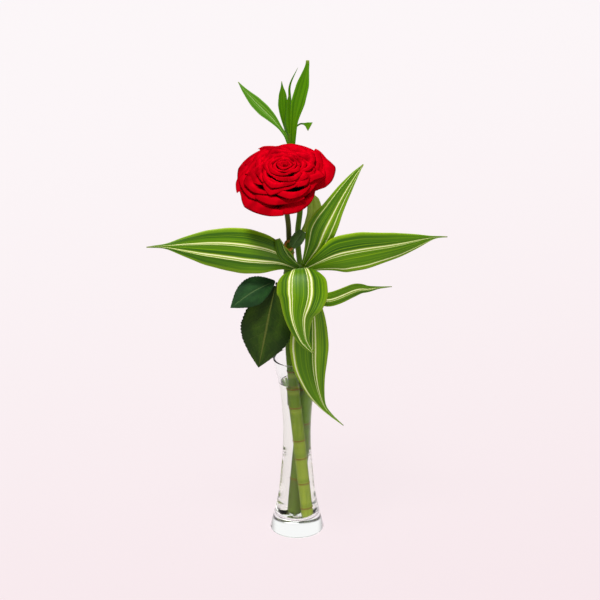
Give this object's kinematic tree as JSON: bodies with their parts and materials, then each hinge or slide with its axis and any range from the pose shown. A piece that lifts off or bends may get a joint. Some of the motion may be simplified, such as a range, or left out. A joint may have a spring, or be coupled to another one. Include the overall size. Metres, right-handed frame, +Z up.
{
  "type": "glass bud vase with flower stems",
  "caption": "Flared clear glass bud vase with a thick base, filled with water and holding lift-out bamboo canes with leaves and a red rose.",
  "frame": {"origin": "centre of the vase's base underside, on the surface it stands on", "axes": "+Z up along the vase, -Y towards the front of the arrangement, +X to its right seen from the front"},
  "size_m": [0.316, 0.1311, 0.5212],
  "materials": {
    "clear_glass": "polished",
    "water": "clear liquid",
    "cane": "satin",
    "wax": "matte",
    "shoot": "satin",
    "variegated_leaf": "satin",
    "green_leaf": "satin",
    "petal": "velvety",
    "sepal": "matte",
    "rose_stem": "matte",
    "rose_leaf": "matte"
  },
  "bodies": {
    "vase": {"vase_glass": "clear_glass", "water": "water"},
    "front_cane": {"front_cane": "cane", "front_cane_seal": "wax", "front_leaf_arching": "variegated_leaf", "front_leaf_hanging": "variegated_leaf", "front_leaf_left": "variegated_leaf", "front_leaf_right": "variegated_leaf", "front_leaf_rolled": "variegated_leaf", "front_leaf_short": "variegated_leaf", "front_leaf_upright": "variegated_leaf", "front_shoot": "shoot"},
    "back_cane": {"back_cane": "cane", "back_leaf_curled": "green_leaf", "back_leaf_left": "green_leaf", "back_leaf_sliver": "green_leaf", "back_leaf_small": "green_leaf", "back_leaf_spear": "green_leaf", "back_leaf_tall": "green_leaf", "back_leaf_twisted": "green_leaf", "back_shoot": "shoot"},
    "rose": {"petal_guard_1": "petal", "petal_guard_2": "petal", "petal_guard_3": "petal", "petal_guard_4": "petal", "petal_guard_5": "petal", "petal_inner_1": "petal", "petal_inner_2": "petal", "petal_inner_3": "petal", "petal_middle_1": "petal", "petal_middle_2": "petal", "petal_middle_3": "petal", "petal_middle_4": "petal", "petal_middle_5": "petal", "petal_outer_1": "petal", "petal_outer_2": "petal", "petal_outer_3": "petal", "petal_outer_4": "petal", "petal_outer_5": "petal", "petal_second_1": "petal", "petal_second_2": "petal", "petal_second_3": "petal", "petal_second_4": "petal", "rose_flap_stalk": "rose_stem", "rose_heart": "petal", "rose_hip": "sepal", "rose_leaf_flap": "rose_leaf", "rose_leaf_large": "rose_leaf", "rose_leaf_small": "rose_leaf", "rose_leaf_stalk": "rose_stem", "rose_stem": "rose_stem", "sepal_1": "sepal", "sepal_2": "sepal", "sepal_3": "sepal", "sepal_4": "sepal", "sepal_5": "sepal"}
  },
  "joints": [
    {"name": "front_cane_lift", "type": "slide", "parent": "vase", "child": "front_cane", "axis": [-0.0854, 0.0092, 0.9963], "range_m": [0, 0.18]},
    {"name": "back_cane_lift", "type": "slide", "parent": "vase", "child": "back_cane", "axis": [0.0525, -0.0242, 0.9983], "range_m": [0, 0.18]},
    {"name": "rose_lift", "type": "slide", "parent": "front_cane", "child": "rose", "axis": [-0.026, -0.0055, 0.9996], "range_m": [0, 0.18], "deforming": ["rose_leaf_stalk", "rose_flap_stalk", "rose_leaf_large", "rose_leaf_small", "rose_leaf_flap"]}
  ]
}
